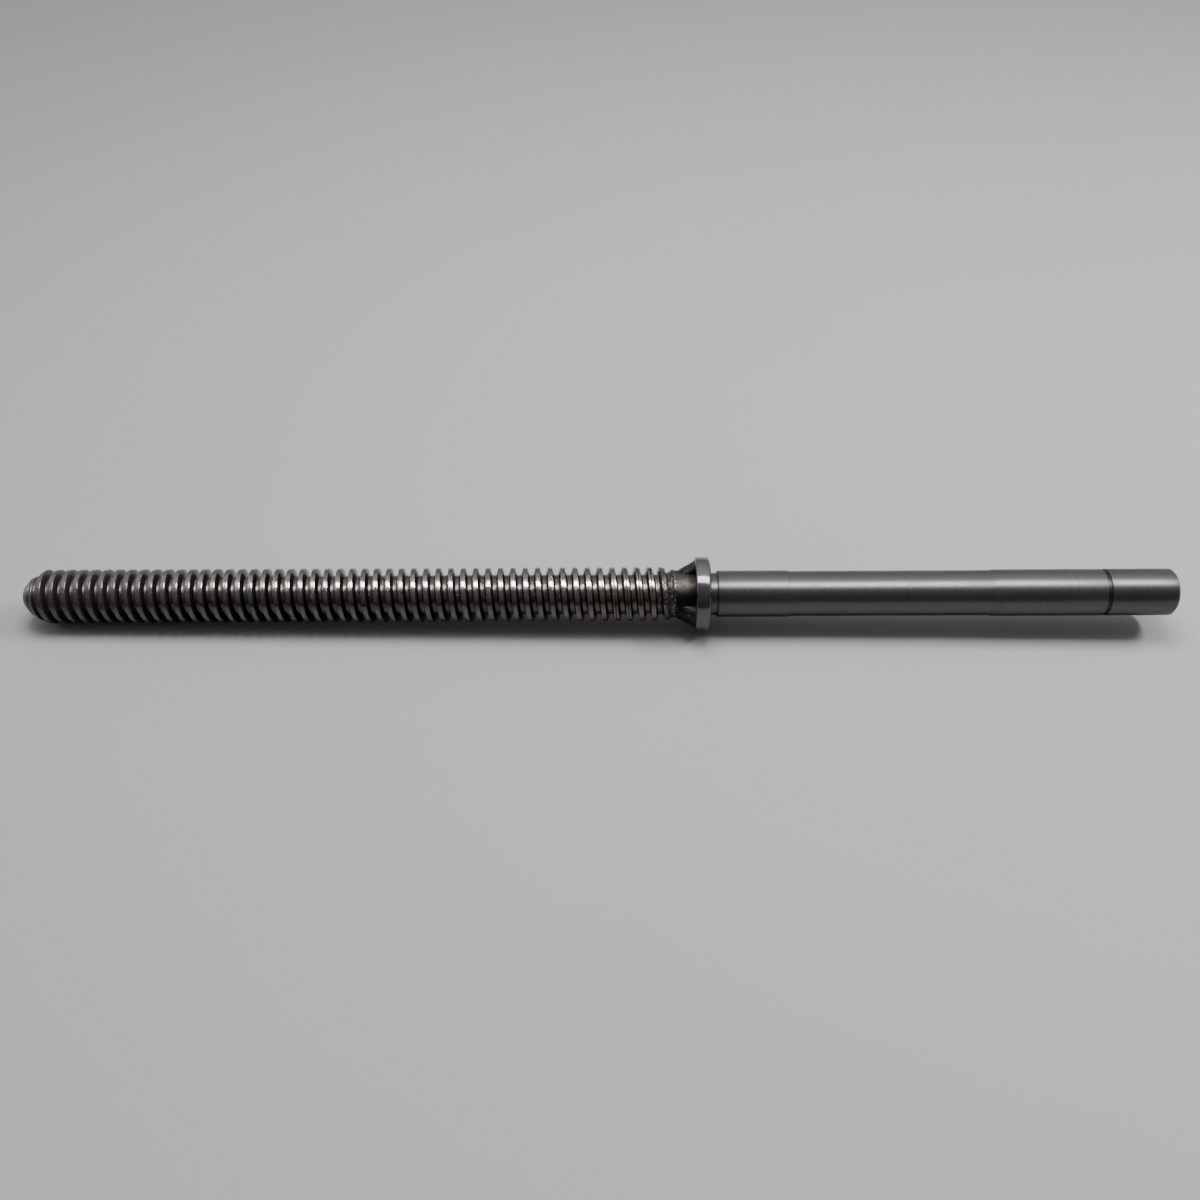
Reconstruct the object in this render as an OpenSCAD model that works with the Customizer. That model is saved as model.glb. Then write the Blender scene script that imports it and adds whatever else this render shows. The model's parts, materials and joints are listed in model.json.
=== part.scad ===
// A power screw: one steel bar with a rolled 7/8-5 Acme thread on one side and turned journals
// on the other, and a thrust collar held between them by two short welds.
// The bar's axis is X and +X points along the journals. The origin is on that axis, in the
// plane of the collar's bearing face. All sizes are in millimetres.

/* [Thread] */
// Outside diameter of the thread
thread_d = 22.225; // [21.5:0.005:23]
// Axial distance from one crest to the next
thread_pitch = 5.08; // [4.5:0.01:5.6]
// Diameter at the bottom of the thread
root_d = 16.3; // [16.2:0.05:17.5]
// Angle between a flank and a plane square to the axis
flank_angle = 14.5; // [12:0.5:18]
// Width of the flat crest as a share of the pitch
crest_share = 0.3707; // [0.34:0.0001:0.42]
// Flat sides that stand for one round turn
thread_sides = 24; // [16:1:28]
// Length over which the cut-back first crests grow to full height
lead_in = 4.6; // [3:0.1:8]
// Length over which the last crests fade into the plain bar
run_out = 6.6; // [3:0.1:12]
// Distance from the bearing face to the middle of the last crest, on the +Y side
last_crest = 15.2; // [14.8:0.1:17]

/* [Bar] */
// Distance from the bearing face to the threaded end
thread_reach = 281.5; // [150:0.5:320]
// Distance from the bearing face to the journal end
shaft_reach = 188.2; // [172:0.1:260]
// Diameter of the plain bar beside and inside the collar
plain_d = 19.4; // [19.2:0.05:20.5]
// Diameter of the turned stub at the threaded end
stub_d = 16.1; // [12:0.1:16.1]
// Length of that stub
stub_len = 3.7; // [3.2:0.1:8]
// Size of the 45 degree chamfer on the stub
stub_chamfer = 2.9; // [0.5:0.1:3]
// Distance from the bearing face back to where the plain bar begins
plain_start = 13.4; // [13.2:0.1:14.2]

/* [Journals] */
// Diameter of both journals and of the end land
journal_d = 19.05; // [18.8:0.01:19.15]
// Diameter of the undercut beside the collar
neck_d = 17.4; // [15:0.1:18.6]
// Width of the undercut
neck_w = 3.2; // [1:0.1:6]
// Length of the inner journal
inner_journal_len = 28.8; // [10:0.1:32]
// Diameter of the relieved length between the journals
relief_d = 18.5; // [17:0.05:18.7]
// Length of the relieved part
relief_len = 82.7; // [40:0.1:86]
// Length of the outer journal
outer_journal_len = 44.6; // [15:0.1:50]
// Diameter at the bottom of the retaining ring groove
groove_d = 17.9; // [16.5:0.05:18.5]
// Width of the retaining ring groove
groove_w = 1.7; // [1:0.05:2]
// Size of the 45 degree chamfers on the journals' edges
edge_chamfer = 0.25; // [0.1:0.05:0.4]
// Size of the 45 degree chamfer on the journal end
end_chamfer = 1.2; // [0.5:0.1:2]

/* [Collar and weld] */
// Outside diameter of the thrust collar
collar_d = 30.16; // [28:0.01:36]
// Width of the thrust collar along the axis
collar_w = 5.9; // [4:0.1:6.4]
// Size of the chamfer on the edge of the bearing face
collar_chamfer = 0.8; // [0.2:0.1:1.5]
// Size of the chamfer on the collar's other outer edge
back_chamfer = 0.4; // [0.2:0.1:1]
// How far each weld reaches along the bar from the collar
weld_len = 7.2; // [5:0.1:7.2]
// Distance from the axis to the top of a weld, where it meets the collar
weld_top_r = 13.9; // [11:0.1:14.2]
// Height of a weld's edge above the plain bar
weld_toe = 0.2; // [0.1:0.05:0.5]
// Angle round the bar that each weld covers
weld_arc = 94; // [30:1:120]
// Angle of the upper weld's middle, measured from +Y towards +Z
weld_middle = 32; // [0:1:45]

/* [Centre holes] */
// Widest diameter of the 60 degree centre hole in each end
centre_d = 5.3; // [3:0.1:6]
// Diameter of its pilot drilling
pilot_d = 2.5; // [1.5:0.1:2.8]
// Depth of the pilot drilling beyond the cone
pilot_depth = 2.4; // [1:0.1:5]

/* [Hidden] */
round_fn = 96;
eps = 0.06; // smallest step along the axis between two rows of thread points
embed = 1; // how far the thread's solid reaches inside the turned parts
inset = 0.15; // how far its hidden end stays inside the plain bar's surface
weld_points = 8; // straight pieces that stand for a weld's curved outline

crest_r = thread_d / 2;
root_r = root_d / 2;
plain_r = plain_d / 2;
fade_r = plain_r - inset;
thread_x0 = -thread_reach + stub_len;
thread_x1 = -plain_start - inset;

crest_w = thread_pitch * crest_share;
flank_w = (crest_r - root_r) * tan(flank_angle);
root_w = thread_pitch - crest_w - 2 * flank_w;
// Axial place of each profile corner within one pitch: crest start, crest end, root start, root end
corner_x = [0, crest_w, crest_w + flank_w, crest_w + flank_w + root_w];
corner_r = [crest_r, crest_r, root_r, root_r];
corners = 4;

// The rows of corners begin one pitch or more before the thread and end after it
turns_back = ceil((thread_x1 - thread_x0) / thread_pitch) + 1;
rows_x0 = -last_crest - crest_w / 2 - turns_back * thread_pitch;
rows = ceil((thread_x1 - rows_x0) / thread_pitch * corners) + 1;
last_step = rows - 1 + corners;

// Profile steps travelled by row s at angular step j, counted along the helix
function steps(s, j) = s + corners * j / thread_sides;

// Where row s lies on the axis at angular step j, held between the thread's two ends
function row_x(s, j) =
    let (x = rows_x0 + (floor(s / corners) + j / thread_sides) * thread_pitch + corner_x[s % corners],
         first = thread_x0 + eps * (steps(s, j) + 1),
         last = thread_x1 - eps * (last_step - steps(s, j) + 1))
    min(max(x, first), last);

// Radius of a corner at x: full profile, cut by the lead-in cone and faded by the run-out
function row_r(s, x) =
    let (fade = min(1, max(0, (thread_x1 - x) / run_out)),
         profile_r = fade_r + (corner_r[s % corners] - fade_r) * fade,
         cone_r = root_r + (crest_r - root_r) * (x - thread_x0) / lead_in)
    min(profile_r, max(root_r, cone_r));

function on_circle(x, r, j) =
    let (a = 360 * j / thread_sides) [x, r * cos(a), r * sin(a)];

function ring(x, r) = [for (j = [0:thread_sides - 1]) on_circle(x, r, j)];

// Two triangles for the patch between two rows of points, seen clockwise from outside
function patch(near_a, near_b, far_a, far_b) = [[near_a, far_a, far_b], [near_a, far_b, near_b]];

// The thread as one closed solid: helical rows, with a flat ring at each end
module thread_body() {
    n = thread_sides;
    row_points = [
        for (s = [0:rows - 1], j = [0:n - 1])
            let (x = row_x(s, j)) on_circle(x, row_r(s, x), j)
    ];
    start_ring = rows * n;
    fade_ring = start_ring + n;
    hidden_ring = fade_ring + n;
    points = concat(
        row_points,
        ring(thread_x0, root_r),
        ring(thread_x1, fade_r),
        ring(thread_x1 + embed, fade_r)
    );
    rows_along = [
        for (s = [0:rows - 2], j = [0:n - 2])
            each patch(s * n + j, s * n + j + 1, (s + 1) * n + j, (s + 1) * n + j + 1)
    ];
    // One turn on, a row continues as the row that starts a whole profile later
    rows_seam = [
        for (s = [0:rows - 2 - corners])
            each patch(s * n + n - 1, (s + corners) * n, (s + 1) * n + n - 1, (s + 1 + corners) * n)
    ];
    start_strip = [
        for (j = [0:n - 2])
            each patch(start_ring + j, start_ring + j + 1, j, j + 1)
    ];
    start_rim = concat([n - 1], [for (s = [corners:-1:0]) s * n], [start_ring]);
    start_fan = [for (k = [0:len(start_rim) - 2]) [start_ring + n - 1, start_rim[k], start_rim[k + 1]]];
    top = (rows - 1) * n;
    end_strip = [
        for (j = [0:n - 2])
            each patch(top + j, top + j + 1, fade_ring + j, fade_ring + j + 1)
    ];
    end_rim = concat([for (s = [rows - 1 - corners:rows - 1]) s * n + n - 1], [fade_ring + n - 1]);
    end_fan = concat(
        [for (k = [0:len(end_rim) - 2]) [fade_ring, end_rim[k], end_rim[k + 1]]],
        [[fade_ring, top, end_rim[0]]]
    );
    hidden_strip = [
        for (j = [0:n - 1])
            let (k = (j + 1) % n)
            each patch(fade_ring + j, fade_ring + k, hidden_ring + j, hidden_ring + k)
    ];
    start_cap = [[for (j = [0:n - 1]) start_ring + j]];
    hidden_cap = [[for (j = [n - 1:-1:0]) hidden_ring + j]];
    polyhedron(
        points,
        concat(rows_along, rows_seam, start_strip, start_fan, end_strip, end_fan,
               hidden_strip, start_cap, hidden_cap),
        convexity = 12
    );
}

// Turns an outline of [radius, place along the axis] points around X
module turned(outline) {
    rotate([0, 90, 0])
        rotate_extrude($fn = round_fn)
            polygon(outline);
}

// Outline points of a centre hole in a flat end at x, on the side that dir points to
function centre_hole(x, dir) =
    let (cone_len = (centre_d - pilot_d) / 2 / tan(30))
    [[centre_d / 2, x],
     [pilot_d / 2, x - dir * cone_len],
     [pilot_d / 2, x - dir * (cone_len + pilot_depth)],
     [0, x - dir * (cone_len + pilot_depth + pilot_d / 4)]];

// Outline points of a cylinder from x0 to x1 with a chamfer on each edge
function land(r, x0, x1, chamfer0, chamfer1) =
    [[r - chamfer0, x0], [r, x0 + chamfer0], [r, x1 - chamfer1], [r - chamfer1, x1]];

module stub() {
    x0 = -thread_reach;
    x1 = thread_x0 + embed;
    r = stub_d / 2;
    hole = centre_hole(x0, -1);
    turned(concat(
        [[0, x1], [r, x1], [r, x0 + stub_chamfer], [r - stub_chamfer, x0]],
        hole
    ));
}

module shaft() {
    inner_x0 = neck_w;
    inner_x1 = inner_x0 + inner_journal_len;
    outer_x0 = inner_x1 + relief_len;
    outer_x1 = outer_x0 + outer_journal_len;
    land_x0 = outer_x1 + groove_w;
    journal_r = journal_d / 2;
    turned(concat(
        [[0, -plain_start], [plain_r, -plain_start], [plain_r, 0],
         [neck_d / 2, 0], [neck_d / 2, inner_x0]],
        land(journal_r, inner_x0, inner_x1, edge_chamfer, edge_chamfer),
        [[relief_d / 2, inner_x1], [relief_d / 2, outer_x0]],
        land(journal_r, outer_x0, outer_x1, edge_chamfer, 0),
        [[groove_d / 2, outer_x1], [groove_d / 2, land_x0]],
        land(journal_r, land_x0, shaft_reach, 0, end_chamfer),
        centre_hole(shaft_reach, 1)
    ));
}

module screw_bar() {
    color("#6f7174")
    union() {
        thread_body();
        stub();
        shaft();
    }
}

module thrust_collar() {
    r = collar_d / 2;
    color("#a3a5a6")
    turned([
        [plain_r, -collar_w], [r - back_chamfer, -collar_w], [r, -collar_w + back_chamfer],
        [r, -collar_chamfer], [r - collar_chamfer, 0], [plain_r, 0]
    ]);
}

// The weld's surface climbs almost straight from its toe and turns up steeply at the collar
function weld_rise(t) = 0.85 * t + 0.15 * pow(t, 6);

// One short weld in the corner between the bar and the collar's back face
module weld(middle) {
    x0 = -collar_w - weld_len;
    toe_r = plain_r + weld_toe;
    start = middle - weld_arc / 2;
    color("#5b5048")
    rotate([0, 90, 0])
        rotate([0, 0, start + 90])
            rotate_extrude(angle = weld_arc, $fn = round_fn)
                polygon(concat(
                    [[plain_r, -collar_w], [plain_r, x0]],
                    [for (k = [0:weld_points])
                        let (t = k / weld_points)
                        [toe_r + (weld_top_r - toe_r) * weld_rise(t), x0 + t * weld_len]]
                ));
}

module upper_weld() {
    weld(weld_middle);
}

module lower_weld() {
    weld(weld_middle + 180);
}

screw_bar();
thrust_collar();
upper_weld();
lower_weld();
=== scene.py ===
import json
import math

import bpy
import numpy as np
from mathutils import Matrix, Vector


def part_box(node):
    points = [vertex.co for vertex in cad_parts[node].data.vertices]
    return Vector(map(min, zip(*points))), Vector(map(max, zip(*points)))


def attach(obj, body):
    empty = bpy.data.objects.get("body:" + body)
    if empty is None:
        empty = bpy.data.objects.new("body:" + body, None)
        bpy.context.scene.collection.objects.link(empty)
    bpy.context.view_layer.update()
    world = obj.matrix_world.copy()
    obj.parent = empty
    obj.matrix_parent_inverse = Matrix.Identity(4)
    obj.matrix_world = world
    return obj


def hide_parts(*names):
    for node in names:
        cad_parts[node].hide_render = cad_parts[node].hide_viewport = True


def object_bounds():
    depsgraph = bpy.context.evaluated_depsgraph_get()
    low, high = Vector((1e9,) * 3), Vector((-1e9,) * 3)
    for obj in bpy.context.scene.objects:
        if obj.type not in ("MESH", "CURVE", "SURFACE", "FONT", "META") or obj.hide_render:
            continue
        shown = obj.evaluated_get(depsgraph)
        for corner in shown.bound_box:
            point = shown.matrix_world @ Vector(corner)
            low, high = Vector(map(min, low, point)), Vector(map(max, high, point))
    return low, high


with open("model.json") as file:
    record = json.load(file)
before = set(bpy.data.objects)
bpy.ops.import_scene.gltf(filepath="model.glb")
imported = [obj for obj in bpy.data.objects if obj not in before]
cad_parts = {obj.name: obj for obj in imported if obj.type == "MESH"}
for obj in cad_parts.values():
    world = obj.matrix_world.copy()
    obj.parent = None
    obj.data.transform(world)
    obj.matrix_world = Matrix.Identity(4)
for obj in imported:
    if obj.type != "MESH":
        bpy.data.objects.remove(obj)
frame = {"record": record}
CAD_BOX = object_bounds()

MM = 0.001
MOUNTS = {m["name"]: m for m in frame["record"]["mounts"]}

# ---------------------------------------------------------------- sizes, in metres, from the frame
BAR_LO, BAR_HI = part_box("screw_bar")
COLLAR_LO, COLLAR_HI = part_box("thrust_collar")
WELD_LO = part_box("upper_weld")[0]

CREST_R = MOUNTS["lead_thread"]["dims"]["r_mm"] * MM
THREAD_X0 = MOUNTS["lead_thread"]["pos_m"][0]
ROOT_R = 8.15 * MM
PITCH = 5.08 * MM
CREST_W = 0.3707 * PITCH
FLANK_W = (CREST_R - ROOT_R) * math.tan(math.radians(14.5))
LEAD_IN = 4.6 * MM
RUN_OUT = 6.6 * MM
PLAIN_R = 9.7 * MM
PLAIN_X0 = -13.4 * MM
LAST_CREST_X = -15.1 * MM

STUB_X0 = BAR_LO[0]
STUB_R = 8.05 * MM
STUB_CHAMFER = 2.9 * MM
SHAFT_X1 = BAR_HI[0]
END_CHAMFER = 1.2 * MM

COLLAR_X0 = COLLAR_LO[0]
COLLAR_X1 = COLLAR_HI[0]
COLLAR_R = COLLAR_HI[1]
WELD_TOP_R = 13.9 * MM
WELD_TOE = 0.2 * MM
WELD_HALF_ARC = 47
WELD_MIDDLES = {"upper_weld": 32, "lower_weld": 212}

JOURNAL_R = MOUNTS["inner_journal"]["dims"]["r_mm"] * MM
NECK_R = 8.7 * MM
RELIEF_R = 9.25 * MM
GROOVE_R = MOUNTS["ring_groove"]["dims"]["r_mm"] * MM


def mount_span(name):
    """Where a mount along the axis begins and ends."""
    middle = MOUNTS[name]["pos_m"][0]
    half = MOUNTS[name]["dims"]["length_mm"] * MM / 2
    return middle - half, middle + half


INNER_X0, INNER_X1 = mount_span("inner_journal")
OUTER_X0, OUTER_X1 = mount_span("outer_journal")
LAND_X0 = mount_span("end_land")[0]

SIDES = 96
NICKS = 70
rng = np.random.default_rng(7)


# ---------------------------------------------------------------- small tools
def smooth_noise(x, seed, scale):
    """One-dimensional smooth noise from -1 to 1, with one bump per scale of x."""
    table = np.random.default_rng(seed).uniform(-1, 1, 4096)
    t = np.asarray(x) / scale
    low = np.floor(t).astype(int)
    f = t - low
    f = f * f * (3 - 2 * f)
    return table[low % 4096] * (1 - f) + table[(low + 1) % 4096] * f


def ring_noise(x, angle, seed, scale, waves):
    """Smooth noise over a turned surface, closed round the turn."""
    total = np.zeros(np.broadcast(x, angle).shape)
    for k in range(1, waves + 1):
        phase = math.pi * smooth_noise(x, seed + 10 * k, scale)
        total = total + np.cos(k * angle + 2 * phase + k) * smooth_noise(x, seed + 10 * k + 5, scale)
    return total / math.sqrt(waves)


def new_mesh_object(name, points, faces, smooth_below=38):
    """A mesh object from points and faces, smooth except over sharp edges."""
    mesh = bpy.data.meshes.new(name)
    mesh.from_pydata([tuple(p) for p in points], [], faces)
    mesh.update()
    mesh.polygons.foreach_set("use_smooth", [True] * len(mesh.polygons))
    mesh.set_sharp_from_angle(angle=math.radians(smooth_below))
    piece = bpy.data.objects.new(name, mesh)
    bpy.context.collection.objects.link(piece)
    return piece


def ring_points(x, r, angles):
    return np.stack([np.broadcast_to(x, angles.shape), r * np.cos(angles), r * np.sin(angles)], axis=-1)


class RingMesh:
    """Collects rings of SIDES points along X and joins each to the one before.

    Faces run anticlockwise seen from outside, so their normals point outwards.
    """

    def __init__(self):
        self.points = []
        self.faces = []
        self.angles = np.arange(SIDES) * 2 * math.pi / SIDES

    def count(self):
        return sum(len(p) for p in self.points)

    def ring(self, x, r):
        first = self.count()
        self.points.append(ring_points(x, r, self.angles))
        return first

    def tip(self, x):
        first = self.count()
        self.points.append(np.array([[x, 0.0, 0.0]]))
        return first

    def join(self, a, b):
        for j in range(SIDES):
            k = (j + 1) % SIDES
            self.faces.append((a + j, a + k, b + k, b + j))

    def close_start(self, tip, ring):
        for j in range(SIDES):
            self.faces.append((tip, ring + (j + 1) % SIDES, ring + j))

    def close_end(self, ring, tip):
        for j in range(SIDES):
            self.faces.append((tip, ring + j, ring + (j + 1) % SIDES))

    def strip(self, outline, last=None):
        """Rings along an outline of (x, r) pairs, joined in turn, after an earlier ring."""
        for x, r in outline:
            ring = self.ring(x, r)
            if last is not None:
                self.join(last, ring)
            last = ring
        return last

    def build(self, name):
        return new_mesh_object(name, np.concatenate(self.points), self.faces)


# ---------------------------------------------------------------- the screw bar
def thread_profile():
    """One pitch of the thread: (distance from the crest's start, radius, 1 on the crest's middle line)."""
    edge = 0.13 * MM
    root_x = CREST_W + FLANK_W
    root_end = PITCH - FLANK_W
    return [
        (-0.04 * MM, CREST_R - 0.17 * MM, 0),
        (0.03 * MM, CREST_R - 0.04 * MM, 0),
        (edge, CREST_R, 0),
        (CREST_W / 2 - 0.24 * MM, CREST_R, 0),
        (CREST_W / 2, CREST_R, 1),
        (CREST_W / 2 + 0.24 * MM, CREST_R, 0),
        (CREST_W - edge, CREST_R, 0),
        (CREST_W - 0.03 * MM, CREST_R - 0.04 * MM, 0),
        (CREST_W + 0.04 * MM, CREST_R - 0.17 * MM, 0),
        (root_x - 0.09 * MM, ROOT_R + 0.35 * MM, 0),
        (root_x + 0.03 * MM, ROOT_R + 0.08 * MM, 0),
        (root_x + 0.26 * MM, ROOT_R, 0),
        (root_end - 0.26 * MM, ROOT_R, 0),
        (root_end - 0.03 * MM, ROOT_R + 0.08 * MM, 0),
        (root_end + 0.09 * MM, ROOT_R + 0.35 * MM, 0),
    ]


def nicks(x, r, angle):
    """Small dents knocked into the crests, as cuts in the radius."""
    cut = np.zeros(x.shape)
    for _ in range(NICKS):
        nick_x = rng.uniform(THREAD_X0 + LEAD_IN, PLAIN_X0)
        nick_angle = rng.uniform(0, 2 * math.pi)
        size = rng.uniform(0.5, 1.3) * MM
        depth = rng.uniform(0.05, 0.22) * MM
        around = (angle - nick_angle + math.pi) % (2 * math.pi) - math.pi
        far = ((x - nick_x) / size) ** 2 + (around * CREST_R / size) ** 2
        cut = cut + depth * np.exp(-far * 1.5)
    return cut * np.clip((r - ROOT_R) / (CREST_R - ROOT_R), 0, 1) ** 3


def thread_surface():
    """Helical rows of the thread: places along X and radii, one row per profile corner."""
    profile = thread_profile()
    corners = len(profile)
    turns_back = math.ceil((PLAIN_X0 - THREAD_X0) / PITCH) + 1
    rows_x0 = LAST_CREST_X - CREST_W / 2 - turns_back * PITCH
    rows = math.ceil((PLAIN_X0 - rows_x0) / PITCH * corners) + 1
    row = np.arange(rows)[:, None]
    column = np.arange(SIDES)[None, :]
    offset = np.array([p[0] for p in profile])[row % corners]
    base_r = np.array([p[1] for p in profile])[row % corners]
    on_middle = np.array([p[2] for p in profile])[row % corners]
    steps = row + corners * column / SIDES
    least = 0.004 * MM
    x = rows_x0 + (row // corners + column / SIDES) * PITCH + offset
    x = np.clip(x, THREAD_X0 + least * (steps + 1), PLAIN_X0 - least * (rows + corners - steps))
    angle = 2 * math.pi * column / SIDES + 0 * x

    # Rolling leaves a fold along the crest's middle, deeper towards the collar, gone at the run-out
    fade = np.clip((PLAIN_X0 - x) / RUN_OUT, 0, 1)
    fold = 0.03 * MM + 0.30 * MM * np.clip((x + 52 * MM) / (22 * MM), 0, 1)
    fold = fold * (0.75 + 0.5 * smooth_noise(x + angle * 9 * MM, 3, 6 * MM))
    fold = fold * np.clip((-17.5 * MM - x) / (4 * MM), 0, 1)
    r = base_r - fold * on_middle - nicks(x, base_r, angle)
    r = PLAIN_R + (r - PLAIN_R) * fade
    # The run-out is torn and spattered between its two ends
    rough = np.clip(fade * (1 - fade) * 5, 0, 1) * 0.27 * MM
    r = r + rough * ring_noise(x, angle, 31, 0.8 * MM, 13)
    cone = ROOT_R + (CREST_R - ROOT_R) * (x - THREAD_X0) / LEAD_IN
    r = np.minimum(r, np.maximum(ROOT_R, cone))
    r = np.minimum(r, CREST_R)
    return x, r, angle, corners


def add_thread(body, start_ring):
    """Adds the thread between start_ring and a new plain ring, whose first point it returns."""
    x, r, angle, corners = thread_surface()
    rows = x.shape[0]
    first = body.count()
    points = np.stack([x, r * np.cos(angle), r * np.sin(angle)], axis=-1)
    body.points.append(points.reshape(-1, 3))
    n = SIDES
    for s in range(rows - 1):
        for j in range(n - 1):
            a = first + s * n + j
            body.faces.append((a, a + 1, a + n + 1, a + n))
    for s in range(rows - 1 - corners):
        a = first + s * n + n - 1
        b = first + (s + corners) * n
        body.faces.append((a, b, b + n, a + n))
    for j in range(n - 1):
        body.faces.append((start_ring + j, start_ring + j + 1, first + j + 1, first + j))
    rim = [first + n - 1] + [first + s * n for s in range(corners, -1, -1)] + [start_ring]
    for a, b in zip(rim, rim[1:]):
        body.faces.append((start_ring + n - 1, b, a))
    end_ring = body.ring(PLAIN_X0, PLAIN_R)
    top = first + (rows - 1) * n
    for j in range(n - 1):
        body.faces.append((top + j, top + j + 1, end_ring + j + 1, end_ring + j))
    rim = [first + s * n + n - 1 for s in range(rows - 1 - corners, rows)] + [end_ring + n - 1]
    for a, b in zip(rim, rim[1:]):
        body.faces.append((end_ring, b, a))
    body.faces.append((end_ring, rim[0], top))
    return end_ring


def chamfered(r, x0, x1, c0, c1):
    """Outline of a cylinder whose edges are cut and slightly rounded."""
    outline = []
    if c0:
        outline += [(x0, r - c0), (x0 + 0.6 * c0, r - 0.28 * c0), (x0 + 1.3 * c0, r)]
    else:
        outline += [(x0, r)]
    if c1:
        outline += [(x1 - 1.3 * c1, r), (x1 - 0.6 * c1, r - 0.28 * c1), (x1, r - c1)]
    else:
        outline += [(x1, r)]
    return outline


def make_screw_bar():
    body = RingMesh()
    centre_r = 2.65 * MM
    pilot_r = 1.25 * MM
    cone_len = (centre_r - pilot_r) / math.tan(math.radians(30))
    pilot_len = 2.4 * MM
    edge = 0.25 * MM

    tip = body.tip(STUB_X0 + cone_len + pilot_len + pilot_r / 2)
    bottom = body.ring(STUB_X0 + cone_len + pilot_len, pilot_r)
    body.close_start(tip, bottom)
    last = body.strip(
        [
            (STUB_X0 + cone_len, pilot_r),
            (STUB_X0, centre_r),
            (STUB_X0, STUB_R - STUB_CHAMFER - 0.15 * MM),
            (STUB_X0 + 0.12 * MM, STUB_R - STUB_CHAMFER + 0.05 * MM),
            (STUB_X0 + STUB_CHAMFER - 0.1 * MM, STUB_R - 0.14 * MM),
            (STUB_X0 + STUB_CHAMFER + 0.12 * MM, STUB_R),
            (THREAD_X0 - 0.02 * MM, STUB_R),
            (THREAD_X0, ROOT_R),
        ],
        bottom,
    )
    last = add_thread(body, last)
    last = body.strip(
        [(PLAIN_X0 + 1.5 * MM, PLAIN_R), (COLLAR_X0 - 3 * MM, PLAIN_R), (COLLAR_X0, PLAIN_R),
         (COLLAR_X1, PLAIN_R), (COLLAR_X1, NECK_R + 0.3 * MM), (COLLAR_X1 + 0.3 * MM, NECK_R),
         (INNER_X0 - 0.3 * MM, NECK_R), (INNER_X0, NECK_R + 0.3 * MM)],
        last,
    )
    last = body.strip(chamfered(JOURNAL_R, INNER_X0, INNER_X0 + 20 * MM, edge, 0), last)
    last = body.strip(
        [(INNER_X1 - 0.7 * MM, JOURNAL_R), (INNER_X1 - 0.3 * MM, JOURNAL_R - 0.05 * MM),
         (INNER_X1 + 0.2 * MM, RELIEF_R + 0.04 * MM), (INNER_X1 + 0.6 * MM, RELIEF_R),
         (OUTER_X0 - 0.6 * MM, RELIEF_R), (OUTER_X0 - 0.2 * MM, RELIEF_R + 0.04 * MM),
         (OUTER_X0 + 0.3 * MM, JOURNAL_R - 0.05 * MM), (OUTER_X0 + 0.7 * MM, JOURNAL_R)],
        last,
    )
    last = body.strip(chamfered(JOURNAL_R, OUTER_X0 + 20 * MM, OUTER_X1, 0, 0.12 * MM), last)
    last = body.strip([(OUTER_X1, GROOVE_R), (LAND_X0, GROOVE_R)], last)
    last = body.strip(chamfered(JOURNAL_R, LAND_X0, LAND_X0 + 20 * MM, 0.12 * MM, 0), last)
    last = body.strip(
        [
            (SHAFT_X1 - END_CHAMFER - 0.12 * MM, JOURNAL_R),
            (SHAFT_X1 - END_CHAMFER + 0.08 * MM, JOURNAL_R - 0.12 * MM),
            (SHAFT_X1 - 0.1 * MM, JOURNAL_R - END_CHAMFER + 0.06 * MM),
            (SHAFT_X1, JOURNAL_R - END_CHAMFER - 0.12 * MM),
            (SHAFT_X1, centre_r),
            (SHAFT_X1 - cone_len, pilot_r),
            (SHAFT_X1 - cone_len - pilot_len, pilot_r),
        ],
        last,
    )
    body.close_end(last, body.tip(SHAFT_X1 - cone_len - pilot_len - pilot_r / 2))
    return body.build("screw_bar_turned")


# ---------------------------------------------------------------- the collar and its welds
def make_collar():
    body = RingMesh()
    outline = [
        (COLLAR_X0, PLAIN_R),
        (COLLAR_X0, COLLAR_R - 0.42 * MM),
        (COLLAR_X0 + 0.08 * MM, COLLAR_R - 0.28 * MM),
        (COLLAR_X0 + 0.26 * MM, COLLAR_R - 0.08 * MM),
        (COLLAR_X0 + 0.45 * MM, COLLAR_R),
        (COLLAR_X1 - 0.9 * MM, COLLAR_R),
        (COLLAR_X1 - 0.7 * MM, COLLAR_R - 0.1 * MM),
        (COLLAR_X1 - 0.12 * MM, COLLAR_R - 0.68 * MM),
        (COLLAR_X1, COLLAR_R - 0.86 * MM),
        (COLLAR_X1, PLAIN_R),
    ]
    first = body.strip(outline[:1])
    last = body.strip(outline[1:], first)
    body.join(last, first)
    return body.build("collar_turned")


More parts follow.
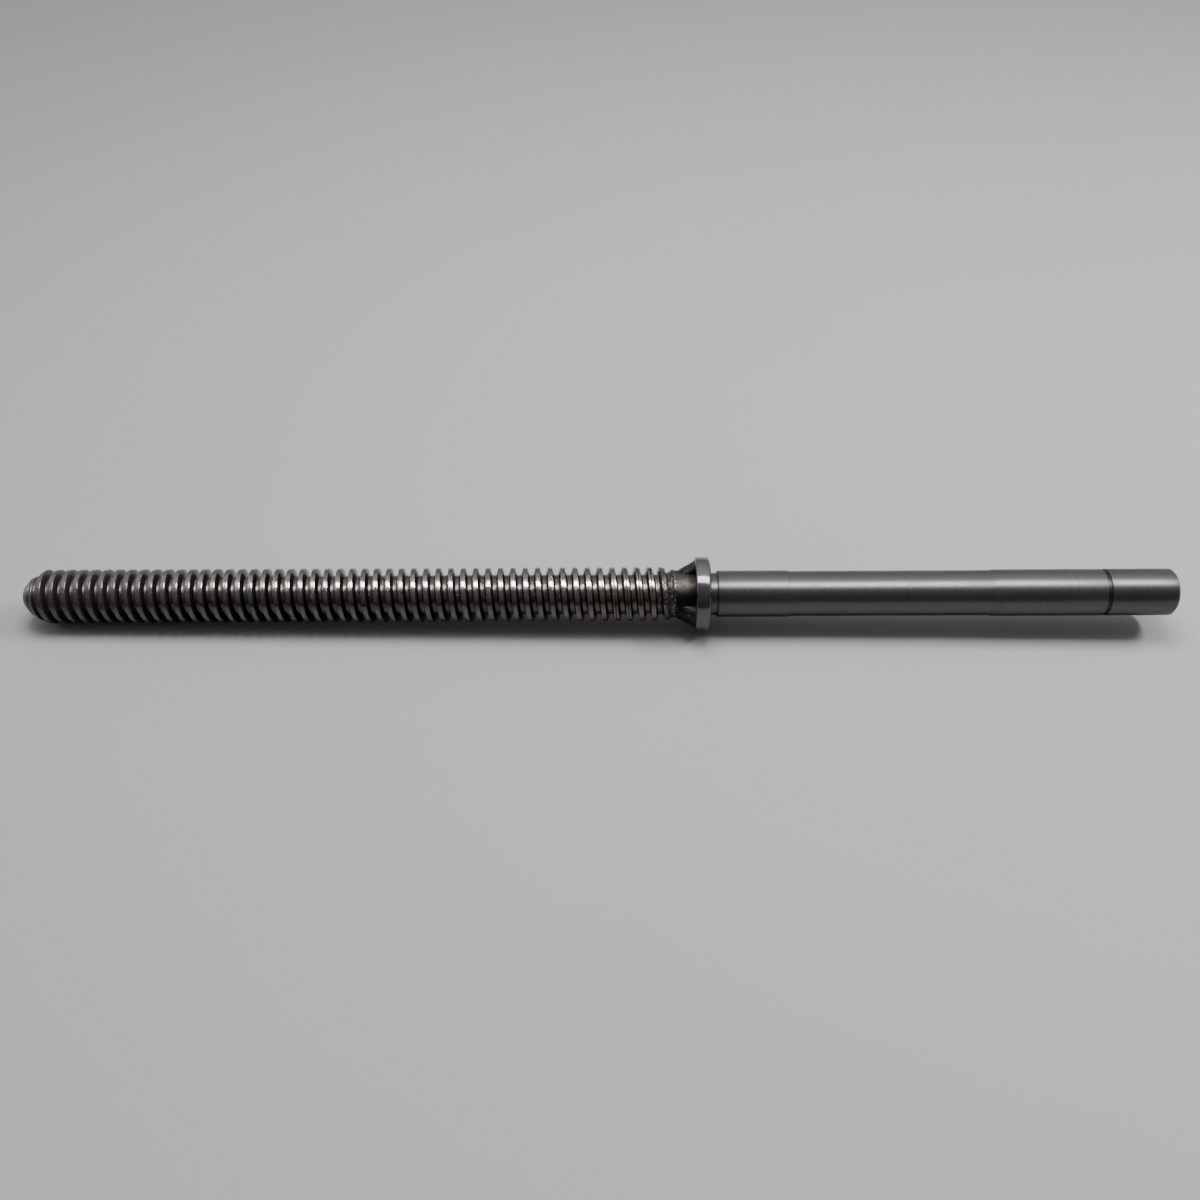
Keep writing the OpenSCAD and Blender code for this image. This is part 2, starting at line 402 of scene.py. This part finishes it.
def make_weld(name, middle):
    """A short weld in the corner, rippled across its length, feathered at its ends."""
    half = math.radians(WELD_HALF_ARC)
    along = 64
    across = 22
    length = COLLAR_X0 - WELD_LO[0]
    height = WELD_TOP_R - PLAIN_R
    u = np.linspace(0, 1, along)[:, None]
    v = np.linspace(0, 1, across)[None, :]
    seed = 100 + int(math.degrees(middle))
    ragged = 0.16
    feather = 0.16
    ripples = 11
    reach = 1 - ragged * (1 + smooth_noise(u * 9, seed, 1.0)) / 2
    end = np.clip(np.minimum(u, 1 - u) / feather, 0, 1)
    end = np.sqrt(end * (2 - end))
    x = COLLAR_X0 - length * (1 - v) * reach * (0.45 + 0.55 * end)
    rise = 0.85 * v + 0.15 * v**6
    ripple = 0.13 * MM * np.sin(u * 2 * math.pi * ripples + 2.4 * v + smooth_noise(u * 9, seed + 1, 1.0))
    lumps = 0.22 * MM * smooth_noise(u * 14 + 3 * v, seed + 2, 1.0)
    lumps = lumps * smooth_noise(v * 5 + u, seed + 3, 1.0)
    swell = np.sin(np.clip(v, 0, 1) * math.pi)
    r = PLAIN_R + end * (WELD_TOE + (height - WELD_TOE) * rise) + (ripple + lumps) * swell * end
    r = np.clip(r, PLAIN_R - 0.02 * MM, WELD_TOP_R)
    angle = middle - half + 2 * half * u + 0 * v
    top = np.stack([x, r * np.cos(angle), r * np.sin(angle)], axis=-1)
    low_r = PLAIN_R - 0.03 * MM
    base = np.stack([x, low_r * np.cos(angle), low_r * np.sin(angle)], axis=-1)
    points = np.concatenate([top.reshape(-1, 3), base.reshape(-1, 3)])
    n = along * across
    faces = []
    for i in range(along - 1):
        for k in range(across - 1):
            a = i * across + k
            faces.append((a, a + across, a + across + 1, a + 1))
            faces.append((n + a, n + a + 1, n + a + across + 1, n + a + across))
    for i in range(along - 1):
        for k in (0, across - 1):
            a = i * across + k
            b = a + across
            faces.append((a, n + a, n + b, b) if k == 0 else (a, b, n + b, n + a))
    for k in range(across - 1):
        for i in (0, along - 1):
            a = i * across + k
            b = a + 1
            faces.append((a, b, n + b, n + a) if i == 0 else (a, n + a, n + b, b))
    return new_mesh_object(name, points, faces, 60)


# ---------------------------------------------------------------- materials
class Nodes:
    """A short way to write a node tree."""

    def __init__(self, name):
        self.material = bpy.data.materials.new(name)
        self.material.use_nodes = True
        self.tree = self.material.node_tree
        self.shader = self.tree.nodes["Principled BSDF"]
        self.coords = self.tree.nodes.new("ShaderNodeTexCoord")

    def link(self, value, socket):
        if isinstance(value, bpy.types.NodeSocket):
            self.tree.links.new(value, socket)
        else:
            socket.default_value = value

    def math(self, operation, a, b=0.0):
        node = self.tree.nodes.new("ShaderNodeMath")
        node.operation = operation
        self.link(a, node.inputs[0])
        self.link(b, node.inputs[1])
        return node.outputs[0]

    def product(self, first, *others):
        for other in others:
            first = self.math("MULTIPLY", first, other)
        return first

    def total(self, first, *others):
        for other in others:
            first = self.math("ADD", first, other)
        return first

    def swing(self, noise, amount):
        """Noise moved so that it swings evenly about zero."""
        return self.product(self.math("SUBTRACT", noise, 0.5), amount)

    def without(self, value, share=1.0):
        """1 where value is 0, less a share of value elsewhere."""
        return self.math("SUBTRACT", 1.0, self.product(value, share))

    def axes(self):
        node = self.tree.nodes.new("ShaderNodeSeparateXYZ")
        self.tree.links.new(self.coords.outputs["Object"], node.inputs[0])
        return node.outputs

    def radius(self):
        """Distance from the axis, in millimetres."""
        x, y, z = self.axes()
        square = self.total(self.product(y, y), self.product(z, z))
        return self.product(self.math("SQRT", square), 1000.0)

    def along(self):
        """Place along the axis, in millimetres."""
        return self.product(self.axes()[0], 1000.0)

    def towards(self, degrees):
        """Distance from the axis towards this angle round it, in metres."""
        y, z = self.axes()[1:]
        turn = math.radians(degrees)
        return self.total(self.product(y, math.cos(turn)), self.product(z, math.sin(turn)))

    def ramp(self, value, low, high, to_low=0.0, to_high=1.0):
        node = self.tree.nodes.new("ShaderNodeMapRange")
        node.clamp = True
        node.interpolation_type = "SMOOTHSTEP"
        self.link(value, node.inputs["Value"])
        node.inputs["From Min"].default_value = low
        node.inputs["From Max"].default_value = high
        node.inputs["To Min"].default_value = to_low
        node.inputs["To Max"].default_value = to_high
        return node.outputs["Result"]

    def stretched(self, sx, sy, sz):
        node = self.tree.nodes.new("ShaderNodeMapping")
        node.inputs["Scale"].default_value = (sx, sy, sz)
        self.tree.links.new(self.coords.outputs["Object"], node.inputs["Vector"])
        return node.outputs["Vector"]

    def noise(self, scale, detail=3.0, stretch=(1, 1, 1), roughness=0.5):
        node = self.tree.nodes.new("ShaderNodeTexNoise")
        self.tree.links.new(self.stretched(*stretch), node.inputs["Vector"])
        node.inputs["Scale"].default_value = scale
        node.inputs["Detail"].default_value = detail
        node.inputs["Roughness"].default_value = roughness
        return node.outputs["Fac"]

    def lines(self, scale, detail=2.0):
        """Noise that changes only along X: fine rings round the turned surface."""
        node = self.tree.nodes.new("ShaderNodeTexNoise")
        node.noise_dimensions = "1D"
        self.tree.links.new(self.axes()[0], node.inputs["W"])
        node.inputs["Scale"].default_value = scale
        node.inputs["Detail"].default_value = detail
        return node.outputs["Fac"]

    def mix(self, factor, a, b):
        node = self.tree.nodes.new("ShaderNodeMix")
        node.data_type = "RGBA"
        self.link(factor, node.inputs["Factor"])
        self.link(a, node.inputs["A"])
        self.link(b, node.inputs["B"])
        return node.outputs["Result"]

    def bump(self, height, strength, distance, normal=None):
        node = self.tree.nodes.new("ShaderNodeBump")
        node.inputs["Strength"].default_value = strength
        node.inputs["Distance"].default_value = distance
        self.link(height, node.inputs["Height"])
        if normal is not None:
            self.tree.links.new(normal, node.inputs["Normal"])
        return node.outputs["Normal"]

    def set(self, **values):
        for name, value in values.items():
            self.link(value, self.shader.inputs[name.replace("_", " ")])
        return self.material


def grey(level, warm=0.0):
    return (level * (1 + warm), level, level * (1 - warm), 1.0)


def steel(level):
    """Steel's grey is faintly purple against the neutral floor."""
    return (level * 1.05, level * 0.975, level * 1.03, 1.0)


def thread_steel():
    """Rolled thread: oily steel with a painted highlight on top, painted shade beside it and in the
    flanks, and painted glints, dull at the free end, burnt beside the welds.

    Here x is the place along the axis and r the distance from it, both in millimetres.
    """
    root_steel = (0.084, 0.067, 0.066, 1)
    crest_steel = (0.138, 0.124, 0.127, 1)
    oil_film = (0.055, 0.041, 0.041, 1)
    brown = (0.175, 0.142, 0.120, 1)
    # Painted highlight: the crests facing the light are painted near white
    painted_highlight = (0.60, 0.56, 0.55, 1)
    # Painted shade beside the highlight
    painted_side_shade = (0.030, 0.024, 0.023, 1)
    # Painted shade in the flanks
    painted_flank_shade = (0.040, 0.033, 0.033, 1)
    warm_glint = (0.62, 0.52, 0.40, 1)
    dull_steel = (0.050, 0.042, 0.046, 1)
    burnt_steel = (0.036, 0.031, 0.030, 1)
    spatter = (0.32, 0.30, 0.30, 1)
    dirt = (0.013, 0.010, 0.010, 1)

    n = Nodes("rolled_thread_steel")
    r = n.radius()
    x = n.along()
    dull = n.ramp(x, -285.0, -185.0, 1.0, 0.0)
    not_dull = n.without(dull, 0.7)
    height = n.ramp(r, ROOT_R / MM, CREST_R / MM)
    worn = n.ramp(n.total(height, n.swing(n.noise(900, 4), 0.4)), 0.55, 1.0)
    metal = n.mix(worn, root_steel, crest_steel)
    oil = n.ramp(n.noise(260, 4, stretch=(1, 0.7, 0.7)), 0.46, 0.70)
    metal = n.mix(n.product(oil, 0.6), metal, oil_film)
    browned = n.ramp(n.total(x, n.product(n.noise(170, 3), 40.0)), -60.0, 6.0)
    metal = n.mix(n.product(browned, 0.45), metal, brown)

    # Painted highlight on the crests along the upper front, where they face the overhead light, with a
    # band of painted shade around it: side is 1 where the thread faces the highlight
    side = n.math("DIVIDE", n.product(n.towards(113), 1000.0), r)
    side = n.total(side, n.swing(n.noise(900, 2, stretch=(2, 0.5, 0.5)), 0.10))
    highlight_mask = n.product(n.ramp(side, 0.978, 0.998), n.ramp(r, 10.95, 11.06))
    highlight_mask = n.product(highlight_mask, n.ramp(x, -250.0, -130.0, 0.0, 1.0), n.ramp(x, -24.0, -19.0, 1.0, 0.0))
    metal = n.mix(highlight_mask, metal, painted_highlight)
    # A band on both sides of the highlight is painted darker, as shade
    below = n.product(n.ramp(side, 0.70, 0.985, 0.85, 0.0), n.ramp(side, 0.45, 0.80, 0.0, 1.0), not_dull)
    metal = n.mix(n.product(below, n.without(worn, 0.30)), metal, painted_side_shade)
    # The flanks between the crests are painted darker, as shade in the thread's grooves
    flank = n.product(n.ramp(r, 8.25, 8.6), n.ramp(r, 10.75, 11.0, 1.0, 0.0))
    flank = n.product(flank, n.ramp(x, -24.0, -18.0, 1.0, 0.0), not_dull)
    metal = n.mix(n.product(flank, 0.50), metal, painted_flank_shade)
    # Painted glints: small warm highlights where the thread faces the light
    glints = n.product(n.ramp(n.noise(1500, 2), 0.68, 0.72), n.ramp(side, 0.80, 0.92))
    metal = n.mix(glints, metal, warm_glint)

    # Dull towards the free end, burnt and spattered beside the welds, with specks of dirt all along
    metal = n.mix(n.product(dull, 0.55), metal, dull_steel)
    burnt = n.ramp(n.total(x, n.product(n.noise(450, 3), 6.0)), -19.2, -16.4)
    metal = n.mix(n.product(burnt, 0.85), metal, burnt_steel)
    beads = n.product(n.ramp(n.noise(1500, 2), 0.60, 0.66), burnt)
    metal = n.mix(beads, metal, spatter)
    specks = n.ramp(n.noise(1300, 2), 0.67, 0.73)
    grime = n.product(n.ramp(n.noise(520, 3), 0.65, 0.685), n.ramp(x, -120.0, -60.0, 1.0, 0.3))
    metal = n.mix(n.product(n.math("MAXIMUM", specks, grime), 0.88), metal, dirt)

    normal = n.bump(n.noise(800, 4, stretch=(3, 1, 1)), 0.20, 0.00004)
    rough = n.ramp(worn, 0.0, 1.0, 0.20, 0.115)
    rough = n.total(rough, n.product(oil, 0.06), n.product(n.noise(420, 3), 0.05))
    rough = n.math("SUBTRACT", rough, n.product(highlight_mask, 0.03))
    rough = n.total(rough, n.product(n.total(dull, n.product(burnt, 1.6)), 0.11))
    metallic = n.math("SUBTRACT", 0.925, n.product(dull, 0.12))
    return n.set(Base_Color=metal, Roughness=rough, Metallic=metallic, Normal=normal)


def turned_steel(name, level, rough_low, rough_high):
    """Turned steel: fine rings round the surface that spread the light along the axis."""
    n = Nodes(name)
    fine = n.lines(5200, 3)
    coarse = n.lines(900, 3)
    tone = n.mix(n.ramp(coarse, 0.3, 0.7), steel(level * 0.93), steel(level * 1.05))
    smear = n.ramp(n.noise(75, 5, stretch=(1, 1.6, 1.6)), 0.48, 0.75)
    tone = n.mix(n.product(smear, 0.22), tone, steel(level * 0.75))
    specks = n.ramp(n.noise(1100, 2), 0.74, 0.78)
    tone = n.mix(n.product(specks, 0.4), tone, grey(0.05, 0.1))
    rough = n.total(n.ramp(coarse, 0.2, 0.8, rough_low, rough_high), n.product(smear, 0.05))
    mottle = n.noise(420, 4, stretch=(1, 0.8, 0.8), roughness=0.65)
    rough = n.total(rough, n.swing(mottle, 0.22))
    grain = n.noise(1900, 3, stretch=(1, 0.45, 0.45))
    normal = n.bump(fine, 0.10, 0.00001)
    normal = n.bump(grain, 0.24, 0.000014, normal)

    # The tangent follows the rings, so a quarter turn lays the highlight along the axis
    n.shader.inputs["Metallic"].default_value = 1.0
    n.shader.inputs["Anisotropic"].default_value = 0.8
    n.shader.inputs["Anisotropic Rotation"].default_value = 0.25
    tangent = n.tree.nodes.new("ShaderNodeTangent")
    tangent.direction_type = "RADIAL"
    tangent.axis = "X"
    n.tree.links.new(tangent.outputs[0], n.shader.inputs["Tangent"])
    return n.set(Base_Color=tone, Roughness=rough, Normal=normal)


def tinted_steel():
    """Plain bar beside the welds: streaked along its length, heat-tinted on top and sooty in front."""
    light_straw = (0.053, 0.047, 0.044, 1)
    dark_straw = (0.030, 0.026, 0.024, 1)
    soot = (0.011, 0.010, 0.010, 1)

    n = Nodes("heat_tinted_steel")
    streaks = n.noise(520, 4, stretch=(0.25, 1, 1))
    top = n.product(n.total(n.towards(100), n.product(streaks, 0.0012)), 1000.0)
    band = n.total(n.along(), n.swing(n.noise(260, 3), 5.0))
    clean = n.product(n.ramp(top, 7.6, 9.9), n.ramp(band, -10.0, -6.6, 1.0, 0.35))
    tone = n.mix(clean, soot, n.mix(n.ramp(streaks, 0.35, 0.65), light_straw, dark_straw))
    rough = n.ramp(n.noise(700, 3), 0.3, 0.7, 0.40, 0.54)
    normal = n.bump(streaks, 0.30, 0.00005)
    n.shader.inputs["Metallic"].default_value = 1.0
    return n.set(Base_Color=tone, Roughness=rough, Normal=normal)


def weld_metal():
    """Weld metal: black oxide in two shades, with grey patches and a few bright specks."""
    black_oxide = (0.012, 0.012, 0.014, 1)
    grey_oxide = (0.026, 0.025, 0.027, 1)
    bare_patch = (0.08, 0.078, 0.080, 1)
    bright_speck = (0.50, 0.49, 0.49, 1)

    n = Nodes("oxidised_weld_metal")
    patches = n.noise(330, 5, roughness=0.6)
    fine = n.noise(1600, 4)
    tone = n.mix(n.ramp(patches, 0.38, 0.60), black_oxide, grey_oxide)
    tone = n.mix(n.ramp(patches, 0.68, 0.80), tone, bare_patch)
    # A few bright specks, partly spatter and partly painted highlights off the bead's ripples
    tone = n.mix(n.ramp(n.noise(760, 2), 0.69, 0.72), tone, bright_speck)
    rough = n.ramp(fine, 0.3, 0.7, 0.42, 0.62)
    normal = n.bump(fine, 0.5, 0.00012)
    n.shader.inputs["Metallic"].default_value = 1.0
    return n.set(Base_Color=tone, Roughness=rough, Normal=normal)


def floor_paint():
    n = Nodes("pale_floor")
    tone = n.mix(n.noise(9, 3), grey(0.295), grey(0.303))
    n.shader.inputs["Roughness"].default_value = 0.75
    n.shader.inputs["Specular IOR Level"].default_value = 0.2
    return n.set(Base_Color=tone)


def paint(piece, *materials):
    piece.data.materials.clear()
    for material in materials:
        piece.data.materials.append(material)


def paint_zones(piece, bounds):
    """Gives each face the slot of the zone along X that its middle lies in."""
    mesh = piece.data
    centres = np.empty(len(mesh.polygons) * 3)
    mesh.polygons.foreach_get("center", centres)
    zone = np.searchsorted(np.array(bounds), centres[0::3])
    mesh.polygons.foreach_set("material_index", zone.astype(np.int32))


# ---------------------------------------------------------------- stage, light and camera
def make_floor():
    """The bar rests on its collar and on the first crests, so the floor is slightly tilted."""
    touch_a = Vector((COLLAR_X0 + 0.4 * MM, 0, -COLLAR_R))
    touch_b = Vector((THREAD_X0 + LEAD_IN, 0, -CREST_R))
    tilt = math.atan2(touch_b.z - touch_a.z, touch_a.x - touch_b.x)
    half = 4.0
    points = [Vector((sx * half, sy * half, 0)) for sx, sy in ((-1, -1), (1, -1), (1, 1), (-1, 1))]
    turn = Matrix.Rotation(tilt, 4, "Y")
    points = [touch_a + turn @ p for p in points]
    floor = new_mesh_object("floor", [tuple(p) for p in points], [(0, 1, 2, 3)])
    paint(floor, floor_paint())


def make_light(name, place, aim, size, power, for_metal):
    """A soft rectangular light, either for the steel's reflections or for the floor and its shadow."""
    data = bpy.data.lights.new(name, "AREA")
    data.shape = "RECTANGLE"
    data.size, data.size_y = size
    data.energy = power
    light = bpy.data.objects.new(name, data)
    light.location = place
    light.rotation_euler = (Vector(aim) - Vector(place)).to_track_quat("-Z", "Y").to_euler()
    light.visible_glossy = for_metal
    light.visible_diffuse = not for_metal
    bpy.context.collection.objects.link(light)


def make_world():
    """A room with its light overhead and behind, and dark on the side that faces -Y."""
    world = bpy.data.worlds.new("studio")
    bpy.context.scene.world = world
    world.use_nodes = True
    tree = world.node_tree
    coords = tree.nodes.new("ShaderNodeTexCoord")
    split = tree.nodes.new("ShaderNodeSeparateXYZ")
    tree.links.new(coords.outputs["Generated"], split.inputs[0])
    angle = tree.nodes.new("ShaderNodeMath")
    angle.operation = "ARCTAN2"
    tree.links.new(split.outputs["Z"], angle.inputs[0])
    tree.links.new(split.outputs["Y"], angle.inputs[1])
    share = tree.nodes.new("ShaderNodeMath")
    share.operation = "DIVIDE"
    share.inputs[1].default_value = math.pi
    tree.links.new(angle.outputs[0], share.inputs[0])
    ramp = tree.nodes.new("ShaderNodeValToRGB")
    # Brightness by direction: 0 is the horizon behind, 0.5 overhead and 1 the horizon in front
    stops = [
        (0.0, 0.50), (0.08, 0.80), (0.19, 1.25), (0.33, 1.80), (0.42, 1.95),
        (0.56, 0.80), (0.62, 0.48), (0.72, 0.34), (0.82, 0.25), (1.0, 0.10),
    ]
    elements = ramp.color_ramp.elements
    elements[0].position, elements[1].position = stops[0][0], stops[-1][0]
    elements[0].color, elements[1].color = grey(stops[0][1]), grey(stops[-1][1])
    for place, level in stops[1:-1]:
        elements.new(place).color = grey(level)
    tree.links.new(share.outputs[0], ramp.inputs[0])
    seen = tree.nodes.new("ShaderNodeLightPath")
    pale = tree.nodes.new("ShaderNodeMix")
    pale.data_type = "RGBA"
    pale.inputs["B"].default_value = grey(0.70)
    tree.links.new(seen.outputs["Is Camera Ray"], pale.inputs["Factor"])
    tree.links.new(ramp.outputs[0], pale.inputs["A"])
    tree.links.new(pale.outputs["Result"], tree.nodes["Background"].inputs["Color"])
    # The floor gets less of it than the steel shows, which keeps the shadow deep
    strength = tree.nodes.new("ShaderNodeMapRange")
    strength.inputs["To Min"].default_value = 1.0
    strength.inputs["To Max"].default_value = 0.55
    tree.links.new(seen.outputs["Is Diffuse Ray"], strength.inputs["Value"])
    tree.links.new(strength.outputs["Result"], tree.nodes["Background"].inputs["Strength"])


def make_camera():
    """A camera in front and above, nearly square to the bar, with all of it in the picture."""
    elevation = math.radians(46)
    yaw = math.radians(0.92)
    roll = 0.00415
    distance = 0.4608
    beyond_middle = 1.95 * MM
    below_aim = 2.36 * MM
    middle = (CAD_BOX[0] + CAD_BOX[1]) / 2
    aim = Vector((middle.x + beyond_middle, 0, 0))
    right = Vector((1, 0, 0))
    forward = Vector((0, math.cos(elevation), -math.sin(elevation)))
    forward, right = (
        math.cos(yaw) * forward - math.sin(yaw) * right,
        math.cos(yaw) * right + math.sin(yaw) * forward,
    )
    up = right.cross(forward)
    right, up = math.cos(roll) * right - math.sin(roll) * up, math.cos(roll) * up + math.sin(roll) * right
    data = bpy.data.cameras.new("camera")
    data.lens = 33.6
    data.clip_start = 0.01
    camera = bpy.data.objects.new("camera", data)
    place = aim - distance * forward - below_aim * up
    camera.matrix_world = Matrix.Translation(place) @ Matrix((right, up, -forward)).transposed().to_4x4()
    bpy.context.collection.objects.link(camera)
    bpy.context.scene.camera = camera


# ---------------------------------------------------------------- the scene
bar = make_screw_bar()
paint(bar, turned_steel("turned_stub_steel", 0.12, 0.36, 0.42), thread_steel(), tinted_steel(),
      turned_steel("turned_journal_steel", 0.100, 0.39, 0.45),
      # The groove is painted darker than the journals, as shade in the recess
      turned_steel("shaded_groove_steel", 0.050, 0.42, 0.50),
      turned_steel("turned_end_steel", 0.096, 0.39, 0.45))
paint_zones(bar, (THREAD_X0, PLAIN_X0 - 0.5 * MM, COLLAR_X0 + 0.1 * MM,
                  OUTER_X1 - 0.05 * MM, LAND_X0 + 0.05 * MM))
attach(bar, "root")
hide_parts("screw_bar")

collar = make_collar()
paint(collar, turned_steel("turned_collar_steel", 0.112, 0.17, 0.22))
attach(collar, "root")
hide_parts("thrust_collar")

for node, middle in WELD_MIDDLES.items():
    weld = make_weld(node + "_rippled", math.radians(middle))
    paint(weld, weld_metal())
    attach(weld, "root")
    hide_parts(node)

make_floor()

# Each light's name, place, aim, size and power in watts, and whether it is for the steel
make_light("overhead_strip", (0.50, 0.07, 2.0), (0.50, 0.07, 0), (2.4, 0.70), 94.0, True)
make_light("overhead_softbox", (-0.03, 0.16, 0.80), (-0.03, 0, 0), (0.43, 0.34), 8.1, False)
make_light("right_softbox", (0.78, 0.16, 0.80), (SHAFT_X1, 0, 0), (0.36, 0.12), 11.5, False)
make_light("left_softbox", (-1.25, 0.14, 0.72), (STUB_X0, 0, 0), (0.36, 0.30), 0.8, False)
make_world()
make_camera()
